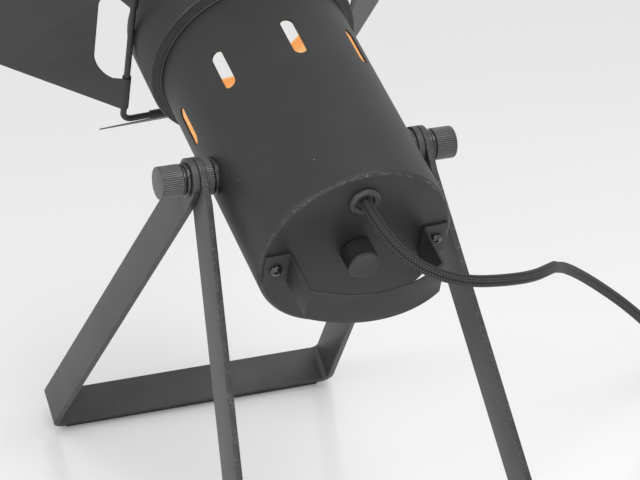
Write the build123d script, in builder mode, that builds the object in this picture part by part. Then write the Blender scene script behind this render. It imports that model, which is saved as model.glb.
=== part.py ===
"""Tabletop searchlight lamp: a tilting drum head with barn doors between two strip frames.

Millimetres, +Z up.  The lamp throws its light towards -Y, and X runs along the pivot line.
Everything is drawn about the pivot line and saved with the origin on the table, under the
middle of the lamp's width and depth.
"""
from build123d import *
from math import sin, cos, tan, radians, degrees, pi, hypot
import os

# ---- driving dimensions -------------------------------------------------------------
pivot_height = 253.0        # pivot line above the table
pivot_back = 19.8           # pivot line behind the middle of the lamp's depth
head_tilt = 19.7            # how far the head looks up, degrees
pivot_drop = 3.3            # pivot line below the head's own axis
housing_turn = 3.3          # the vents and the handle sit a little turned, degrees

drum_radius = 60.0
drum_wall = 1.2
drum_rear = 77.6            # pivot to the outside of the rear disc
drum_front = 98.0           # pivot to the drum's open end, inside the collar
rear_edge_radius = 3.0
vent_count = 8
vent_length = 30.0
vent_width = 8.0
vent_centre = 43.0          # pivot to the middle of the vents

collar_front = 139.0        # pivot to the collar's front face
collar_length = 49.0
collar_step = 6.8           # how far the collar stands out from the drum
collar_wall = 1.5
mouth_rim = 5.8             # width of the front edge turned in round the mouth
lap_clearance = 0.05

rod_radius = 2.0
rod_setback = 13.1          # collar's front face to the middle of the square wire frame
rod_corner = 6.0
weld_length = 10.0
weld_width = 3.0

leaf_wall = 0.8
leaf_length = 97.0
leaf_setback = 14.45        # wire's middle to the leaf's side, at the hinge
leaf_flare = 0.09           # how much the half width grows per millimetre of length
leaf_tab_length = 25.2      # each of the two rolled hinge tabs
leaf_window_depth = 22.7
leaf_window_swell = 3.6     # the window widens this much beside the tabs
leaf_window_corner = 13.0
leaf_corner = 4.0
side_leaf_angle = 41.8      # from straight ahead, outwards, degrees
end_leaf_angle = 46.3       # the same for the top and bottom leaves
left_leaf_slide = 3.2       # how far each leaf has slid along its wire
right_leaf_slide = 7.2
top_leaf_slide = 0.0
bottom_leaf_slide = -3.8

strip_width = 25.0
strip_wall = 4.0
leg_angle = 36.0            # each frame's lean from the vertical, degrees
frame_half_foot = 101.5     # half width over the crossbar's ends
eye_flat = 18.0             # straight end of a leg below the pivot
eye_bend_radius = 16.0
foot_bend_radius = 4.0      # inside radius of the bends at the crossbar
pad_edge = 1.0              # thickness of the anti-slip wedge at its thin edge
pad_depth = 12.0
pad_setback = 3.0

stud_radius = 3.0
running_clearance = 0.05
face_gap = 0.1              # between faces that turn on each other
friction_washer_radius = 9.0
friction_washer_wall = 0.4  # between the inner and the outer strip
spacer_end = 68.1           # middle of the lamp to the spacers' outer faces
spacer_radius = 11.0
spacer_flange_radius = 12.0
spacer_flange_end = 62.4
washer_radius = 10.6
washer_wall = 2.5
knob_radius = 9.9
knob_end = 94.9             # middle of the lamp to the thumb knobs' end faces
knob_neck_radius = 8.6
knob_neck_length = 1.2
knob_ring = 1.6             # plain ring beside the knurl at the end face
knurl_count = 36
knurl_depth = 0.5
stud_head_radius = 5.5
stud_head_height = 4.0

handle_inset = 3.0          # drum's side to the ends of the handle's feet
handle_foot_length = 14.7
handle_width = 22.6
handle_drop = 2.7           # the handle's middle below the head's axis
handle_height = 32.0
handle_bow = 12.2
handle_wall = 1.8
handle_bend = 2.0
handle_screw_inset = 7.0    # end of a foot to its screw's middle
screw_radius = 2.0
screw_head_radius = 3.9
screw_head_height = 2.4
nut_radius = 4.0
nut_height = 3.2

switch_knob_radius = 9.7
switch_knob_length = 13.2
switch_knob_gap = 0.4
switch_shaft_radius = 3.0
switch_bush_radius = 4.5
switch_body_radius = 11.0
switch_body_length = 16.0

bracket_side_gap = 0.7      # the bracket's sides outside the handle's
bracket_tab_end = 5.0       # screw's middle to the end of the bracket's foot
bracket_depth = 22.0
bracket_width = 20.0
bracket_wall = 1.5
holder_radius = 19.0
holder_length = 41.0
holder_bore = 13.9
holder_floor = 8.0
shell_wall = 0.4
nipple_radius = 5.0
nipple_nut_radius = 8.0
nipple_nut_height = 3.0
bulb_cap_radius = 13.1
bulb_cap_length = 26.0
bulb_radius = 30.0
bulb_neck_swell = 6.0       # how far, and how far ahead of the holder, the neck has widened
bulb_neck_length = 16.0
bulb_length = 108.0
bulb_seat = 1.0             # bulb contact to the holder's floor

bush_offset = 40.0          # cord bushing above the head's axis
bush_flange_radius = 9.6
bush_flange_height = 3.2
bush_throat_radius = 5.2
bush_throat_depth = 2.0
bush_shank_radius = 5.9
bush_hole_clearance = 0.1
bush_nut_radius = 10.0
bush_nut_height = 4.0
bush_shank_length = 7.0     # inside the rear disc

cord_radius = 3.5
cord_straight = 38.0        # straight out of the bushing
coil_radius = 41.0          # at the middle of the turns
coil_band = 21.0            # radial width of the turns
coil_height = 14.0
coil_exit_angle = 150.0     # where the last turn leaves, from +X
tail_length = 24.0          # from the coil to the plug
tie_width = 12.0
tie_wall = 1.0
tie_slack = 1.6             # the straight tie round the curved turns
plug_length = 36.0
plug_taper = 16.0
plug_width = 34.0
plug_height = 14.0
pin_radius = 2.0
pin_length = 19.0
pin_spacing = 18.6

# ---- the head's own frame -------------------------------------------------------------
tilt = radians(head_tilt)
rearward = Vector(0, cos(tilt), -sin(tilt))
downward = Vector(0, -sin(tilt), -cos(tilt))
across = Vector(1, 0, 0)
head_origin = Vector(0, 0, pivot_height) - downward * pivot_drop
head_axis = Axis(head_origin, rearward)
turn = radians(housing_turn)
turned_across = across * cos(turn) + downward * sin(turn)
turned_down = downward * cos(turn) - across * sin(turn)


def head_point(x, down, back):
    """A point of the head: sideways, down from its axis, back from the pivot."""
    return head_origin + across * x + downward * down + rearward * back


def turned_point(x, down, back):
    """The same on the housing's slightly turned pattern."""
    return head_origin + turned_across * x + turned_down * down + rearward * back


def cross_plane(back):
    """Plane across the head, local x sideways, local y down, facing the rear."""
    return Plane(origin=head_point(0, 0, back), x_dir=across, z_dir=rearward)


def turned_plane(back, x=0.0, down=0.0):
    return Plane(origin=turned_point(x, down, back), x_dir=turned_across, z_dir=rearward)


# local x = radius, local y = distance back along the head's axis
profile_plane = Plane(origin=head_origin, x_dir=across, z_dir=downward * -1)
# the same for the handle and the bracket, on the turned pattern
strip_plane = Plane(origin=turned_point(0, handle_drop, 0), x_dir=turned_across,
                    z_dir=turned_down * -1)


def save(part, name):
    """Put the piece where it stands on the table, and keep it."""
    placed = part.part.moved(Location((0, pivot_back, 0)))
    placed.label = name
    export_step(placed, f"parts/{name}.step")


def half_profile(points, rounds=()):
    """Closed outline of radius and distance back, for turning about the head's axis."""
    with BuildSketch(profile_plane) as outline:
        with BuildLine():
            Polyline(*points, close=True)
        make_face()
        for radius, place in rounds:
            fillet(outline.vertices().sort_by_distance(place)[0], radius)
    return outline.sketch


def ring_points(count, outer, inner):
    """Straight knurl: a star outline, two points for each tooth."""
    step = pi / count
    return [((outer, inner)[i % 2] * cos(i * step), (outer, inner)[i % 2] * sin(i * step))
            for i in range(2 * count)]


os.makedirs("parts", exist_ok=True)

# ---- rear housing: one deep-drawn cup with its vents and holes --------------------------
inner_radius = drum_radius - drum_wall
collar_radius = drum_radius + collar_step
mouth_radius = collar_radius - mouth_rim
disc_inside = drum_rear - drum_wall
handle_tab = drum_radius - handle_inset                  # half width over the handle's feet
handle_half = handle_tab - handle_foot_length            # half width over its side walls
handle_screw_x = handle_tab - handle_screw_inset
bracket_half = handle_half + bracket_side_gap
bracket_tab = handle_screw_x + bracket_tab_end
with BuildPart() as rear_housing:
    revolve(half_profile(
        [(0, drum_rear), (drum_radius, drum_rear), (drum_radius, -drum_front),
         (inner_radius, -drum_front), (inner_radius, disc_inside), (0, disc_inside)],
        rounds=((rear_edge_radius, (drum_radius, drum_rear)),
                (rear_edge_radius - drum_wall, (inner_radius, disc_inside)))), axis=head_axis)
    for number in range(vent_count):
        angle = turn + 2 * pi * number / vent_count
        outwards = downward * -cos(angle) + across * sin(angle)
        vent_plane = Plane(origin=head_point(0, 0, -vent_centre) + outwards * (inner_radius - 5),
                           x_dir=rearward, z_dir=outwards)
        with BuildSketch(vent_plane):
            SlotOverall(vent_length, vent_width)
        extrude(amount=10 + drum_wall, mode=Mode.SUBTRACT)
    with BuildSketch(turned_plane(disc_inside - 1)):
        Circle(switch_bush_radius + running_clearance)
        with Locations((0, -bush_offset)):
            Circle(bush_shank_radius + bush_hole_clearance)
        with Locations((handle_screw_x, handle_drop), (-handle_screw_x, handle_drop)):
            Circle(screw_radius + bush_hole_clearance)
    extrude(amount=drum_wall + 2, mode=Mode.SUBTRACT)
    with Locations(Location((0, 0, pivot_height), (0, 90, 0))):
        Cylinder(stud_radius + running_clearance, 2 * collar_radius, mode=Mode.SUBTRACT)
save(rear_housing, "rear_housing")

# ---- front collar: spun ring that laps over the drum, its front edge turned inwards ------
lap_radius = drum_radius + lap_clearance
lap_outer = lap_radius + collar_wall
collar_rear = collar_front - collar_length
shoulder = collar_rear + 3.5
with BuildPart() as front_collar:
    revolve(half_profile(
        [(lap_radius, -collar_rear), (lap_outer, -collar_rear), (lap_outer, -shoulder + 1.5),
         (collar_radius, -shoulder), (collar_radius, -collar_front), (mouth_radius, -collar_front),
         (mouth_radius, -collar_front + collar_wall),
         (collar_radius - collar_wall, -collar_front + collar_wall),
         (collar_radius - collar_wall, -shoulder - collar_wall), (lap_radius, -shoulder)],
        rounds=((1.4, (collar_radius, -shoulder)), (0.7, (lap_outer, -collar_rear)),
                (1.0, (collar_radius, -collar_front)))), axis=head_axis)
save(front_collar, "front_collar")

# ---- square wire frame, slipped over the collar and welded to it in the middle of each side ---
rod_half = collar_radius + running_clearance + rod_radius    # half its side, at the wire's middle
rod_back = rod_setback - collar_front
rod_plane = turned_plane(rod_back)
with BuildPart() as barn_door_frame:
    with BuildLine(rod_plane) as rod_line:
        FilletPolyline((0, rod_half), (rod_half, rod_half), (rod_half, -rod_half),
                       (-rod_half, -rod_half), (-rod_half, rod_half), (-1e-3, rod_half),
                       radius=rod_corner)
        Line(rod_line.line @ 1, rod_line.line @ 0)
    with BuildSketch(Plane(origin=rod_line.line @ 0, z_dir=turned_across)):
        Circle(rod_radius)
    sweep(path=rod_line.line)
    with BuildSketch(rod_plane):
        Rectangle(2 * rod_half, weld_length)
        Rectangle(weld_length, 2 * rod_half)
    extrude(amount=weld_width / 2, both=True)
    with BuildSketch(rod_plane):
        Circle(collar_radius + running_clearance)
    extrude(amount=2 * rod_radius, both=True, mode=Mode.SUBTRACT)
save(barn_door_frame, "barn_door_frame")

leaf_root = rod_half - leaf_setback                          # half width of a leaf at its hinge
leaf_window_half = leaf_root - leaf_tab_length
leaf_window_wide = leaf_window_half + leaf_window_swell
leaf_swell_depth = 0.9 * (leaf_window_depth - leaf_window_corner)


def barn_leaf(along, outwards, angle, slide, name):
    """A sheet leaf, its two hinge tabs rolled around one side of the wire frame."""
    swing = radians(angle)
    reach = outwards * sin(swing) - rearward * cos(swing)
    hinge = head_point(0, 0, rod_back) + outwards * rod_half + along * slide
    flat = Plane(origin=hinge, x_dir=along, z_dir=along.cross(reach))
    face = 1 if flat.z_dir.dot(outwards * cos(swing) + rearward * sin(swing)) > 0 else -1
    bore = rod_radius + running_clearance
    tip = leaf_root + leaf_flare * leaf_length
    tab_middle = (leaf_root + leaf_window_half) / 2
    with BuildPart() as leaf:
        with BuildSketch(flat.offset(face * bore)) as outline:
            with BuildLine():
                Polyline((-leaf_root, 0), (-tip, leaf_length), (tip, leaf_length), (leaf_root, 0),
                         (leaf_window_half, 0), (leaf_window_wide, leaf_swell_depth),
                         (leaf_window_wide, leaf_window_depth), (-leaf_window_wide, leaf_window_depth),
                         (-leaf_window_wide, leaf_swell_depth), (-leaf_window_half, 0), close=True)
            make_face()
            for side in (1, -1):
                tip_corner = (side * tip, leaf_length)
                fillet(outline.vertices().sort_by_distance(tip_corner)[0], leaf_corner)
                window_corner = (side * leaf_window_wide, leaf_window_depth)
                fillet(outline.vertices().sort_by_distance(window_corner)[0], leaf_window_corner)
        extrude(amount=face * leaf_wall)
        for side in (1, -1):
            middle = flat.from_local_coords((side * tab_middle, 0))
            with BuildSketch(Plane(origin=middle, x_dir=flat.z_dir, z_dir=along)):
                Circle(bore + leaf_wall)
                Circle(bore, mode=Mode.SUBTRACT)
            extrude(amount=(leaf_root - leaf_window_half) / 2, both=True)
    save(leaf, name)


barn_leaf(turned_down, turned_across, side_leaf_angle, left_leaf_slide, "left_leaf")
barn_leaf(turned_down, turned_across * -1, side_leaf_angle, right_leaf_slide, "right_leaf")
barn_leaf(turned_across, turned_down * -1, end_leaf_angle, top_leaf_slide, "top_leaf")
barn_leaf(turned_across, turned_down, end_leaf_angle, bottom_leaf_slide, "bottom_leaf")

# ---- rear handle: one bowed strip with two feet ---------------------------------------------
handle_foot = drum_rear + handle_wall
with BuildPart() as handle_strip:
    with BuildSketch(strip_plane) as handle_outline:
        with BuildLine():
            Polyline((-handle_half, drum_rear + handle_height), (-handle_half, handle_foot),
                     (-handle_tab, handle_foot), (-handle_tab, drum_rear),
                     (-handle_half + handle_wall, drum_rear),
                     (-handle_half + handle_wall, drum_rear + handle_height - handle_wall))
            ThreePointArc((-handle_half + handle_wall, drum_rear + handle_height - handle_wall),
                          (0, drum_rear + handle_height + handle_bow - handle_wall),
                          (handle_half - handle_wall, drum_rear + handle_height - handle_wall))
            Polyline((handle_half - handle_wall, drum_rear + handle_height - handle_wall),
                     (handle_half - handle_wall, drum_rear), (handle_tab, drum_rear),
                     (handle_tab, handle_foot), (handle_half, handle_foot),
                     (handle_half, drum_rear + handle_height))
            ThreePointArc((handle_half, drum_rear + handle_height),
                          (0, drum_rear + handle_height + handle_bow),
                          (-handle_half, drum_rear + handle_height))
        make_face()
        for side in (1, -1):
            outer = (side * handle_half, drum_rear + handle_height)
            fillet(handle_outline.vertices().sort_by_distance(outer)[0], handle_bend)
            foot = (side * (handle_half - handle_wall), drum_rear)
            fillet(handle_outline.vertices().sort_by_distance(foot)[0], handle_bend)
    extrude(amount=handle_width / 2, both=True)
    with BuildSketch(turned_plane(drum_rear - 1)):
        with Locations((handle_screw_x, handle_drop), (-handle_screw_x, handle_drop)):
            Circle(screw_radius + bush_hole_clearance)
    extrude(amount=handle_wall + 2, mode=Mode.SUBTRACT)
save(handle_strip, "handle_strip")

bracket_top = disc_inside - bracket_depth
with BuildPart() as lampholder_bracket:
    with BuildSketch(strip_plane):
        with BuildLine():
            Polyline((-bracket_tab, disc_inside), (-bracket_half, disc_inside),
                     (-bracket_half, bracket_top), (bracket_half, bracket_top),
                     (bracket_half, disc_inside), (bracket_tab, disc_inside),
                     (bracket_tab, disc_inside - bracket_wall),
                     (bracket_half + bracket_wall, disc_inside - bracket_wall),
                     (bracket_half + bracket_wall, bracket_top - bracket_wall),
                     (-bracket_half - bracket_wall, bracket_top - bracket_wall),
                     (-bracket_half - bracket_wall, disc_inside - bracket_wall),
                     (-bracket_tab, disc_inside - bracket_wall), close=True)
        make_face()
    extrude(amount=bracket_width / 2, both=True)
    with BuildSketch(turned_plane(bracket_top - bracket_wall - 1)):
        with Locations((handle_screw_x, handle_drop), (-handle_screw_x, handle_drop)):
            Circle(screw_radius + bush_hole_clearance)
        Circle(nipple_radius + running_clearance)
    extrude(amount=bracket_depth + bracket_wall + 2, mode=Mode.SUBTRACT)
save(lampholder_bracket, "lampholder_bracket")

for name, side in (("left", 1), ("right", -1)):
    with BuildPart() as handle_screw:
        with BuildSketch(turned_plane(handle_foot, side * handle_screw_x, handle_drop)):
            Circle(screw_head_radius)
        extrude(amount=screw_head_height)
        fillet(handle_screw.faces().sort_by(head_axis)[-1].edges(), screw_head_height * 0.6)
        with BuildSketch(turned_plane(handle_foot, side * handle_screw_x, handle_drop)):
            Circle(screw_radius)
        extrude(amount=-(handle_foot - disc_inside + bracket_wall + nut_height + 1))
    save(handle_screw, name + "_handle_screw")

    with BuildPart() as handle_nut:
        with BuildSketch(turned_plane(disc_inside - bracket_wall, side * handle_screw_x, handle_drop)):
            RegularPolygon(nut_radius, 6)
            Circle(screw_radius + running_clearance, mode=Mode.SUBTRACT)
        extrude(amount=-nut_height)
    save(handle_nut, name + "_handle_nut")

# ---- rotary switch and its knob ----------------------------------------------------------------
with BuildPart() as switch_body:
    with BuildSketch(turned_plane(disc_inside)):
        Circle(switch_body_radius)
    extrude(amount=-switch_body_length)
    with BuildSketch(turned_plane(disc_inside)):
        Circle(switch_bush_radius)
    extrude(amount=drum_wall)
    with BuildSketch(turned_plane(drum_rear)):
        Circle(switch_shaft_radius)
    extrude(amount=switch_knob_length - 3)
save(switch_body, "switch_body")

with BuildPart() as switch_knob:
    with BuildSketch(turned_plane(drum_rear + switch_knob_gap)):
        Circle(switch_knob_radius)
    extrude(amount=switch_knob_length)
    fillet(switch_knob.faces().sort_by(head_axis)[-1].edges(), 1.0)
    with BuildSketch(turned_plane(drum_rear)):
        Circle(switch_shaft_radius + running_clearance)
    extrude(amount=switch_knob_length - 2.5, mode=Mode.SUBTRACT)
save(switch_knob, "switch_knob")

# ---- lampholder and bulb ---------------------------------------------------------------------
holder_back = bracket_top - bracket_wall
holder_mouth = holder_back - holder_length
with BuildPart() as lampholder:
    revolve(half_profile(
        [(nipple_radius + running_clearance, holder_back), (holder_radius - 3, holder_back),
         (holder_radius, holder_back - 8), (holder_radius, holder_mouth + 12),
         (holder_radius + 1.5, holder_mouth + 11), (holder_radius + 1.5, holder_mouth),
         (holder_bore, holder_mouth), (holder_bore, holder_back - holder_floor),
         (nipple_radius + running_clearance, holder_back - holder_floor)]), axis=head_axis)
save(lampholder, "lampholder")

shell_outer = holder_bore - running_clearance
with BuildPart() as holder_shell:
    revolve(half_profile(
        [(shell_outer, holder_mouth + 2), (shell_outer, holder_back - holder_floor),
         (nipple_radius + 2, holder_back - holder_floor), (nipple_radius + 2, holder_back - holder_floor - 0.5),
         (shell_outer - shell_wall, holder_back - holder_floor - 0.5), (shell_outer - shell_wall, holder_mouth + 2)]), axis=head_axis)
save(holder_shell, "holder_shell")

with BuildPart() as holder_nipple:
    revolve(half_profile(
        [(0, bracket_top + nipple_nut_height), (nipple_nut_radius, bracket_top + nipple_nut_height),
         (nipple_nut_radius, bracket_top), (nipple_radius, bracket_top),
         (nipple_radius, holder_back - holder_floor), (0, holder_back - holder_floor)]), axis=head_axis)
save(holder_nipple, "holder_nipple")

cap_back = holder_back - holder_floor - bulb_seat
cap_front = cap_back - bulb_cap_length
bulb_front = cap_back - bulb_length
bulb_middle = bulb_front + bulb_radius
with BuildPart() as bulb_cap:
    revolve(half_profile(
        [(0, cap_back), (6, cap_back), (bulb_cap_radius, cap_back - 5),
         (bulb_cap_radius, cap_front), (0, cap_front)]), axis=head_axis)
save(bulb_cap, "bulb_cap")

with BuildPart() as bulb_glass:
    with BuildSketch(profile_plane):
        with BuildLine():
            Line((0, cap_front), (bulb_cap_radius, cap_front))
            Line((bulb_cap_radius, cap_front), (bulb_cap_radius, holder_mouth))
            Spline((bulb_cap_radius, holder_mouth),
                   (bulb_cap_radius + bulb_neck_swell, holder_mouth - bulb_neck_length),
                   (bulb_radius, bulb_middle), tangents=((0, -1), (0, -1)))
            RadiusArc((bulb_radius, bulb_middle), (0, bulb_front), bulb_radius)
            Line((0, bulb_front), (0, cap_front))
        make_face()
    revolve(axis=head_axis)
save(bulb_glass, "bulb_glass")

# ---- cord bushing -----------------------------------------------------------------------------
with BuildPart() as cord_bushing:
    with BuildSketch(turned_plane(drum_rear, 0, -bush_offset)):
        Circle(bush_flange_radius)
    extrude(amount=bush_flange_height)
    fillet(cord_bushing.faces().sort_by(head_axis)[-1].edges(), 1.3)
    with BuildSketch(turned_plane(drum_rear, 0, -bush_offset)):
        Circle(bush_shank_radius)
    extrude(amount=-drum_wall - bush_shank_length)
    with BuildSketch(turned_plane(drum_rear + bush_flange_height, 0, -bush_offset)):
        Circle(bush_throat_radius)
    extrude(amount=-bush_throat_depth, mode=Mode.SUBTRACT)
save(cord_bushing, "cord_bushing")

with BuildPart() as bushing_nut:
    with BuildSketch(turned_plane(disc_inside, 0, -bush_offset)):
        RegularPolygon(bush_nut_radius, 6)
        Circle(bush_shank_radius + running_clearance, mode=Mode.SUBTRACT)
    extrude(amount=-bush_nut_height)
save(bushing_nut, "bushing_nut")

# ---- pivots --------------------------------------------------------------------------------------
inner_face = spacer_end + face_gap                       # inner strip, its inner face
strip_gap = friction_washer_wall + 2 * running_clearance
outer_face = inner_face + strip_wall + strip_gap         # outer strip, its inner face
washer_start = outer_face + strip_wall + face_gap
knob_start = washer_start + washer_wall + face_gap
stud_end = knob_end - 5.0


def pivot_plane(side, distance):
    """Plane across the pivot line, facing outwards on that side."""
    return Plane(origin=(side * distance, 0, pivot_height), x_dir=(0, 1, 0), z_dir=(side, 0, 0))


stud_seat = (inner_radius ** 2 - (stud_head_radius + pivot_drop) ** 2) ** 0.5 - 0.05
neck_end = knob_start + knob_neck_length
for name, side in (("left", 1), ("right", -1)):
    with BuildPart() as spacer:
        with BuildSketch(pivot_plane(side, spacer_flange_end)):
            with BuildLine():
                Polyline(*ring_points(knurl_count, spacer_radius, spacer_radius - knurl_depth), close=True)
            make_face()
        extrude(amount=spacer_end - spacer_flange_end)
        with BuildSketch(pivot_plane(side, drum_radius - 8)):
            Circle(spacer_flange_radius)
        extrude(amount=spacer_flange_end - drum_radius + 8)
        with BuildSketch(cross_plane(-2 * spacer_flange_radius)):
            Circle(lap_radius)
        extrude(amount=4 * spacer_flange_radius, mode=Mode.SUBTRACT)
        with BuildSketch(pivot_plane(side, 0)):
            Circle(stud_radius + running_clearance)
        extrude(amount=knob_end, mode=Mode.SUBTRACT)
    save(spacer, name + "_pivot_spacer")

    with BuildPart() as stud:
        with BuildSketch(pivot_plane(side, stud_seat)):
            RegularPolygon(stud_head_radius, 6)
        extrude(amount=-stud_head_height)
        with BuildSketch(pivot_plane(side, stud_seat)):
            Circle(stud_radius)
        extrude(amount=stud_end - stud_seat)
    save(stud, name + "_pivot_stud")

    with BuildPart() as friction_washer:
        with BuildSketch(pivot_plane(side, inner_face + strip_wall + running_clearance)):
            Circle(friction_washer_radius)
            Circle(stud_radius + running_clearance, mode=Mode.SUBTRACT)
        extrude(amount=friction_washer_wall)
    save(friction_washer, name + "_friction_washer")

    with BuildPart() as washer:
        with BuildSketch(pivot_plane(side, washer_start)):
            Circle(washer_radius)
            Circle(stud_radius + running_clearance, mode=Mode.SUBTRACT)
        extrude(amount=washer_wall)
        rims = washer.edges().filter_by(GeomType.CIRCLE).group_by(SortBy.RADIUS)[-1]
        fillet(rims, 0.8)
    save(washer, name + "_pivot_washer")

    with BuildPart() as thumb_knob:
        with BuildSketch(pivot_plane(side, knob_start)):
            Circle(knob_neck_radius)
        extrude(amount=knob_neck_length)
        with BuildSketch(pivot_plane(side, neck_end)):
            with BuildLine():
                Polyline(*ring_points(knurl_count, knob_radius, knob_radius - knurl_depth), close=True)
            make_face()
        extrude(amount=knob_end - knob_ring - neck_end)
        with BuildSketch(pivot_plane(side, knob_end - knob_ring)):
            Circle(knob_radius - 0.1)
        extrude(amount=knob_ring)
        chamfer(thumb_knob.faces().sort_by(Axis.X)[-1 if side > 0 else 0].edges(), 0.6)
        with BuildSketch(pivot_plane(side, knob_start)):
            Circle(stud_radius + running_clearance)
        extrude(amount=stud_end + 0.5 - knob_start, mode=Mode.SUBTRACT)
    save(thumb_knob, name + "_thumb_knob")

# ---- the two strip frames ------------------------------------------------------------------------
lean = radians(leg_angle)
half_strip = strip_width / 2
frame_half_pivot = (inner_face + outer_face) / 2 + strip_wall   # over the legs at the pivot
frame_shift = (strip_wall + strip_gap) / 2                       # each frame off the middle
bar_outside = (pivot_height - pad_edge - half_strip * sin(lean)) / cos(lean)


def strip_frame(fore, name):
    """One strip bent into two legs and a crossbar; fore is -1 for the front frame, 1 for the rear."""
    plane = Plane(origin=(-fore * frame_shift, 0, pivot_height), x_dir=(1, 0, 0),
                  z_dir=(0, -cos(lean), -fore * sin(lean)))
    outer = [(frame_half_pivot, half_strip), (frame_half_pivot, -eye_flat),
             (frame_half_foot, -bar_outside)]
    slope = (frame_half_foot - frame_half_pivot) / (bar_outside - eye_flat)
    wall_x = strip_wall * hypot(1, slope)
    inner = [(frame_half_foot - wall_x - strip_wall * slope, -bar_outside + strip_wall),
             (frame_half_pivot - strip_wall, -eye_flat - strip_wall * slope / 2),
             (frame_half_pivot - strip_wall, half_strip)]
    mirrored = [(-x, y) for x, y in reversed(outer + inner)]
    with BuildPart() as frame:
        with BuildSketch(plane) as outline:
            with BuildLine():
                Polyline(*outer, *mirrored[3:], *mirrored[:3], *inner, close=True)
            make_face()
            for side in (1, -1):
                for place, radius in ((outer[2], foot_bend_radius + strip_wall), (inner[0], foot_bend_radius),
                                      (outer[1], eye_bend_radius), (inner[1], eye_bend_radius + strip_wall)):
                    spot = (side * place[0], place[1])
                    fillet(outline.vertices().sort_by_distance(spot)[0], radius)
        extrude(amount=half_strip, both=True)
        top = frame.edges().filter_by(Axis.X).sort_by(Axis(plane.origin, plane.y_dir))[-4:]
        fillet(top, half_strip - 0.01)
        with Locations(Location((0, 0, pivot_height), (0, 90, 0))):
            Cylinder(stud_radius + running_clearance, 3 * frame_half_pivot, mode=Mode.SUBTRACT)
    save(frame, name)

    # anti-slip wedge under the crossbar, flat on the table
    edge_y = fore * (bar_outside * sin(lean) - half_strip * cos(lean))
    wedge_y = edge_y + fore * pad_depth * cos(lean)
    pad_half = frame_half_foot - foot_bend_radius - strip_wall - pad_setback
    with BuildPart() as pad:
        with BuildSketch(Plane(origin=(-fore * frame_shift, 0, 0), x_dir=(0, 1, 0), z_dir=(1, 0, 0))):
            with BuildLine():
                Polyline((edge_y, 0), (wedge_y, 0), (wedge_y, pad_edge + pad_depth * sin(lean)),
                         (edge_y, pad_edge), close=True)
            make_face()
        extrude(amount=pad_half, both=True)
    save(pad, name + "_pad")


strip_frame(-1, "front_frame")
strip_frame(1, "rear_frame")

# ---- cord, its coil and plug ----------------------------------------------------------------------
cord_start = turned_point(0, -bush_offset, drum_rear + bush_flange_height - bush_throat_depth)
cord_floor = cord_radius + 0.1
cord_route = [
    cord_start,
    cord_start + rearward * cord_straight,
    Vector(-24, 149, 240),
    Vector(-78, 140, 229),
    Vector(-118, 100, 212),
    Vector(-138, 62, 190),
    Vector(-172, 16, 163),
    Vector(-214, -22, 128),
    Vector(-262, -52, 86),
    Vector(-306, -80, 42),
    Vector(-345, -106, 12),
    Vector(-382, -124, cord_floor),
]
runs = [(b - a).length for a, b in zip(cord_route, cord_route[1:])]
turns = [(b - a).get_angle(c - b) for a, b, c in zip(cord_route, cord_route[1:], cord_route[2:])]
bends = [0.45 * min(before, after) / tan(radians(angle / 2))
         for before, after, angle in zip(runs, runs[1:], turns)]
print("cord runs", [round(run) for run in runs])
print("cord bend radii", [round(bend) for bend in bends])
with BuildPart() as cord:
    with BuildLine() as cord_line:
        FilletPolyline(*cord_route, radius=bends)
    with BuildSketch(Plane(origin=cord_start, z_dir=rearward)):
        Circle(cord_radius)
    sweep(path=cord_line.line)
cord_length = sum(edge.length for edge in cord_line.edges())
print("cord length", round(cord_length), "volume against section times length",
      round(cord.part.volume / (pi * cord_radius ** 2 * cord_length), 4))
save(cord, "cord")

# the coil lies where the loose end runs into its outer turn
table_gap = 0.1
coil_base = table_gap + tie_wall
coil_outside = coil_radius + coil_band / 2
turn_radius = coil_outside - cord_radius
coil_entry = (coil_outside ** 2 - (turn_radius - cord_radius) ** 2) ** 0.5 + table_gap
arriving = Vector(cord_route[-1].X - cord_route[-2].X, cord_route[-1].Y - cord_route[-2].Y, 0).normalized()
inwards = Vector(arriving.Y, -arriving.X, 0)
coil_middle = cord_route[-1] + arriving * coil_entry + inwards * turn_radius
coil_middle = Vector(coil_middle.X, coil_middle.Y, coil_base)
with BuildPart() as cord_coil:
    with BuildSketch(Plane(coil_middle)):
        Circle(coil_outside)
        Circle(coil_radius - coil_band / 2, mode=Mode.SUBTRACT)
    extrude(amount=coil_height)
    fillet(cord_coil.edges(), cord_radius - 0.2)
save(cord_coil, "cord_coil")

tie_plane = Plane(origin=coil_middle + Vector(-coil_radius, 0, coil_height / 2), x_dir=(1, 0, 0),
                  z_dir=(0, 1, 0))
with BuildPart() as cord_tie:
    with BuildSketch(tie_plane):
        RectangleRounded(coil_band + tie_slack + 2 * tie_wall, coil_height + 2 * tie_wall, 4.2)
        RectangleRounded(coil_band + tie_slack, coil_height, 3.2, mode=Mode.SUBTRACT)
    extrude(amount=tie_width / 2, both=True)
save(cord_tie, "cord_tie")

leaving_angle = radians(coil_exit_angle)
leaving = Vector(sin(leaving_angle), -cos(leaving_angle), 0)
across_plug = Vector(-leaving.Y, leaving.X, 0)
plug_lift = plug_height / 2 + table_gap
tail_start = coil_middle + Vector(cos(leaving_angle), sin(leaving_angle), 0) * turn_radius
tail_start = Vector(tail_start.X, tail_start.Y, plug_lift) + leaving * coil_entry
with BuildPart() as cord_tail:
    with BuildSketch(Plane(origin=tail_start, x_dir=across_plug, z_dir=leaving)):
        Circle(cord_radius)
    extrude(amount=tail_length)
save(cord_tail, "cord_tail")

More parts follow.
